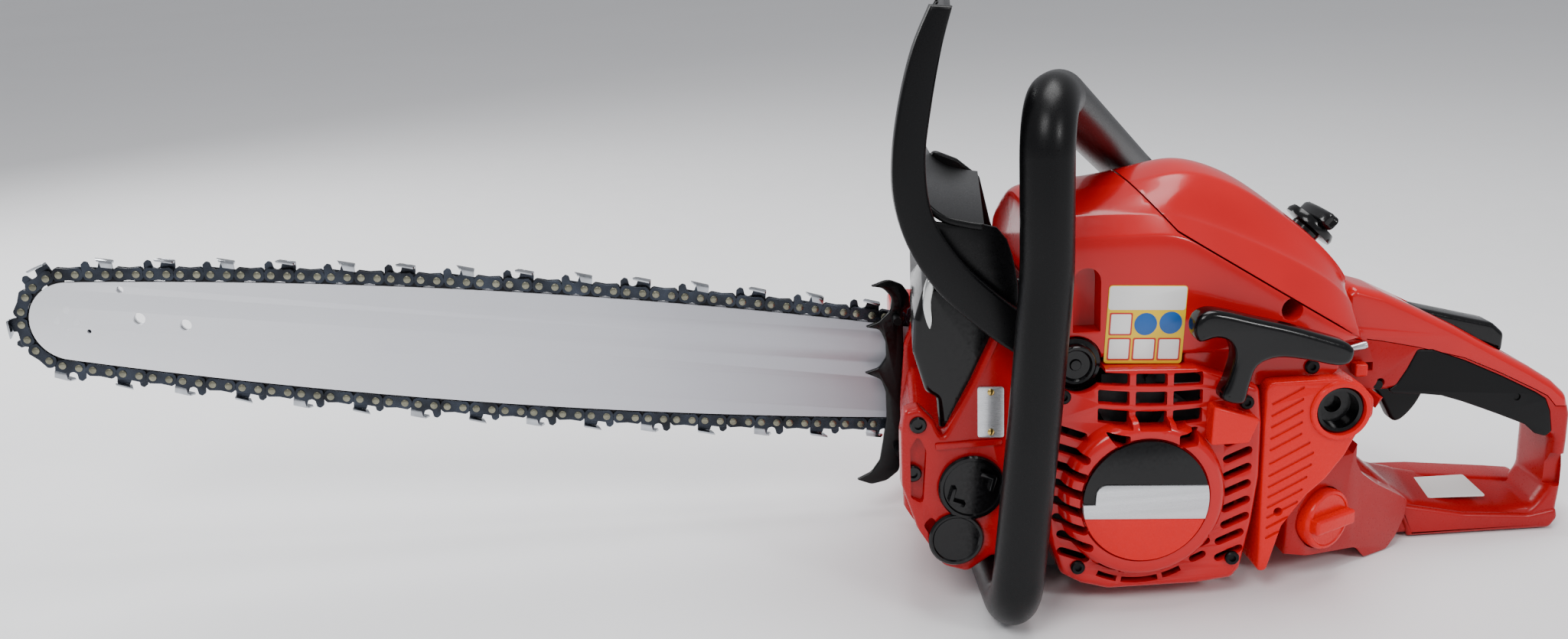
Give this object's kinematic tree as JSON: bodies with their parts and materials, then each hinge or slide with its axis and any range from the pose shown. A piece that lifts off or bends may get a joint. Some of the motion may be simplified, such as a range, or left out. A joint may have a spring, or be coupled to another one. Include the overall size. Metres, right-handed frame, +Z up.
{
  "type": "chainsaw",
  "caption": "Petrol chainsaw with sprocket-nose guide bar and chain, tubular front handle, tilting hand guard, rear handle with trigger, recoil starter and spiked bumper.",
  "frame": {"origin": "middle of the bounding box at the ground plane the saw stands on", "axes": "-X along the guide bar to its nose, +X to the rear handle, -Y is the starter side, +Y the bar and clutch side, +Z up"},
  "size_m": [0.8444, 0.2344, 0.301],
  "materials": {
    "red_gloss": "glossy",
    "red_body": "satin",
    "red_housing": "satin paint",
    "black_gloss": "glossy",
    "black_satin": "satin",
    "rubber": "matte",
    "alloy": "cast",
    "badge": "brushed",
    "steel": "machined",
    "bar_paint": "silver paint",
    "chain_dark": "blued",
    "chain_rivet": "bare",
    "cutter_chrome": "polished",
    "black_steel": "black paint",
    "filter_felt": "felt",
    "ceramic": "glazed"
  },
  "bodies": {
    "powerhead": {"crankcase": "alloy", "oil_tank_housing": "red_housing", "engine_cylinder": "alloy", "clutch_drum": "chain_dark", "rim_sprocket": "steel", "oil_pump": "chain_dark", "muffler": "steel", "muffler_guard": "black_gloss", "spark_plug": "ceramic", "ignition_coil": "black_satin", "carburettor": "alloy", "air_filter": "filter_felt", "intake_boot": "rubber", "top_cover": "red_gloss", "starter_cover": "red_gloss", "starter_badge": "badge", "recoil_spring": "steel", "rope_guide": "red_gloss", "side_cover": "red_gloss", "clutch_cover": "red_gloss", "bar_studs": "steel", "bar_nuts": "steel", "guide_bar": "bar_paint", "nose_sprocket": "chain_dark", "drive_links": "chain_dark", "tie_straps": "chain_dark", "cutters": "cutter_chrome", "chain_rivets": "chain_rivet", "spiked_bumper": "black_steel", "bumper_screws": "black_steel", "chain_catcher": "alloy", "tension_screw": "steel", "front_handle": "black_satin", "front_handle_mounts": "black_satin", "guard_pivot": "steel", "brake_band": "steel", "rear_handle": "red_body", "handle_grip": "black_satin", "trigger_pin": "steel", "isolator_caps": "black_gloss", "nameplate": "badge", "cover_screws": "black_steel"},
    "crank": {"crankshaft": "steel", "flywheel": "alloy", "clutch_shoes": "chain_dark"},
    "piston": {"piston": "alloy", "wrist_pin": "steel"},
    "rod": {"connecting_rod": "steel", "crank_pin": "steel"},
    "starter_pulley": {"starter_pulley": "black_satin"},
    "starter_grip": {"starter_grip": "black_satin"},
    "hand_guard": {"hand_guard": "black_gloss"},
    "trigger": {"throttle_trigger": "black_satin"},
    "lockout": {"lockout_lever": "black_satin"},
    "choke": {"choke_lever": "red_gloss"},
    "switch": {"stop_switch": "steel"},
    "fuel_cap": {"fuel_cap": "red_gloss"},
    "oil_cap": {"oil_cap": "black_gloss"},
    "cover_latch": {"cover_latch": "black_gloss"}
  },
  "joints": [
    {"name": "crank_spin", "type": "hinge", "parent": "powerhead", "child": "crank", "pos_m": [0.171, 0, 0.07], "axis": [0, 1, 0], "continuous": true},
    {"name": "piston_slide", "type": "slide", "parent": "powerhead", "child": "piston", "axis": [0, 0, 1], "range_m": [-0.032, 0]},
    {"name": "rod_swing", "type": "hinge", "parent": "piston", "child": "rod", "pos_m": [0.171, 0, 0.144], "axis": [0, 1, 0], "range_deg": [-12, 12]},
    {"name": "starter_pull", "type": "slide", "parent": "powerhead", "child": "starter_grip", "axis": [0.2079, 0, 0.9781], "range_m": [0, 0.8], "stiffness_N_per_m": 8, "springref_m": -0.5},
    {"name": "pulley_spin", "type": "hinge", "parent": "powerhead", "child": "starter_pulley", "pos_m": [0.171, -0.074, 0.07], "axis": [0, 1, 0], "range_deg": [0, 2420]},
    {"name": "guard_tilt", "type": "hinge", "parent": "powerhead", "child": "hand_guard", "pos_m": [0.124, 0, 0.14], "axis": [0, -1, 0], "range_deg": [0, 14]},
    {"name": "trigger_pull", "type": "hinge", "parent": "powerhead", "child": "trigger", "pos_m": [0.314, 0, 0.088], "axis": [0, -1, 0], "range_deg": [0, 14], "stiffness_Nm_per_rad": 0.3, "springref_deg": -17.19},
    {"name": "lockout_press", "type": "hinge", "parent": "powerhead", "child": "lockout", "pos_m": [0.34, 0, 0.118], "axis": [0, 1, 0], "range_deg": [0, 6], "stiffness_Nm_per_rad": 0.5, "springref_deg": -11.46},
    {"name": "choke_pull", "type": "slide", "parent": "powerhead", "child": "choke", "axis": [1, 0, 0], "range_m": [0, 0.005]},
    {"name": "switch_flip", "type": "hinge", "parent": "powerhead", "child": "switch", "pos_m": [0.29, -0.028, 0.111], "axis": [0, -1, 0], "range_deg": [0, 25]},
    {"name": "fuel_cap_turn", "type": "hinge", "parent": "powerhead", "child": "fuel_cap", "pos_m": [0.2715, -0.0589, 0.032], "axis": [0.4848, -0.8746, 0], "range_deg": [0, 180]},
    {"name": "oil_cap_turn", "type": "hinge", "parent": "powerhead", "child": "oil_cap", "pos_m": [0.088, -0.07, 0.066], "axis": [0, -1, 0], "range_deg": [0, 180]},
    {"name": "latch_turn", "type": "hinge", "parent": "powerhead", "child": "cover_latch", "pos_m": [0.277, -0.003, 0.171], "axis": [0.6947, 0, 0.7193], "range_deg": [0, 90]}
  ],
  "couplings": [
    {"joint": "pulley_spin", "follows": "starter_pull", "rad_per_m": 52.632}
  ]
}
